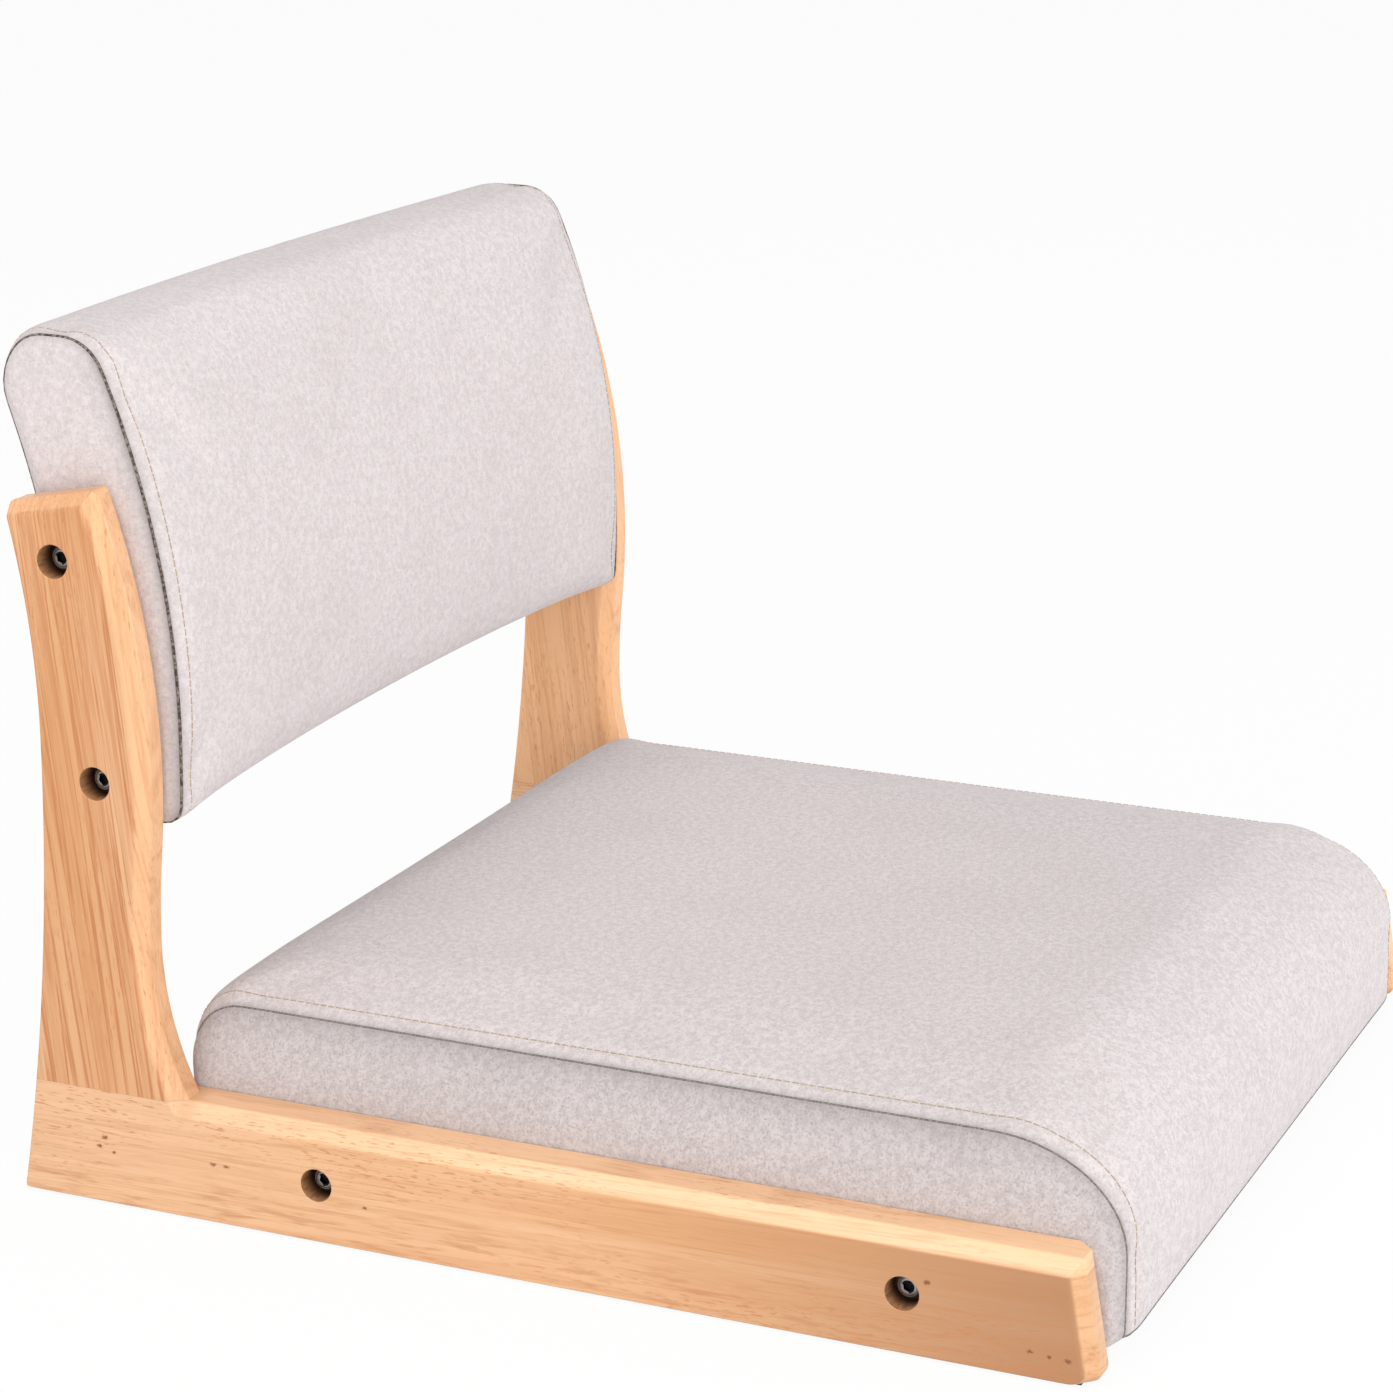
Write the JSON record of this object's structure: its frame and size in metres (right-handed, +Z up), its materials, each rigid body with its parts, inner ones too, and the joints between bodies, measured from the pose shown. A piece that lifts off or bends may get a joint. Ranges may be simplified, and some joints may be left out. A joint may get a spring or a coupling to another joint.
{
  "type": "floor chair",
  "caption": "Legless floor chair: solid wooden side frames with bowed uprights, a padded waterfall-front seat and a curved padded backrest, held by sunk socket-head bolts",
  "frame": {"origin": "on the floor under the middle of the chair's overall length and width", "axes": "+Z up, the front of the seat faces -Y, the sitter's right is -X"},
  "size_m": [0.515, 0.5474, 0.402],
  "materials": {
    "frame_wood": "clear satin lacquer",
    "core_wood": "sawn, bare",
    "plywood": "bare plywood",
    "upholstery": "suede-like microfibre",
    "foam": "open-cell foam",
    "lining": "non-woven",
    "felt": "pressed felt",
    "dark_steel": "black oxide",
    "zinc": "zinc plated"
  },
  "bodies": {
    "root": {"right_rail": "frame_wood", "left_rail": "frame_wood", "right_upright": "frame_wood", "left_upright": "frame_wood", "right_joint_tenon": "core_wood", "left_joint_tenon": "core_wood", "right_foot_pads": "felt", "left_foot_pads": "felt", "right_seat_bolts": "dark_steel", "left_seat_bolts": "dark_steel", "right_back_bolts": "dark_steel", "left_back_bolts": "dark_steel", "right_seat_washers": "zinc", "left_seat_washers": "zinc", "right_back_washers": "zinc", "left_back_washers": "zinc", "right_seat_inserts": "zinc", "left_seat_inserts": "zinc", "right_back_inserts": "zinc", "left_back_inserts": "zinc", "right_seat_side_panel": "upholstery", "left_seat_side_panel": "upholstery", "right_back_side_panel": "upholstery", "left_back_side_panel": "upholstery", "right_seat_member": "core_wood", "left_seat_member": "core_wood", "right_back_stile": "core_wood", "left_back_stile": "core_wood", "seat_front_member": "core_wood", "seat_rear_member": "core_wood", "seat_deck": "plywood", "seat_foam": "foam", "seat_middle_panel": "upholstery", "seat_dust_cover": "lining", "back_panel": "plywood", "back_foam": "foam", "back_middle_panel": "upholstery"}
  },
  "joints": []
}
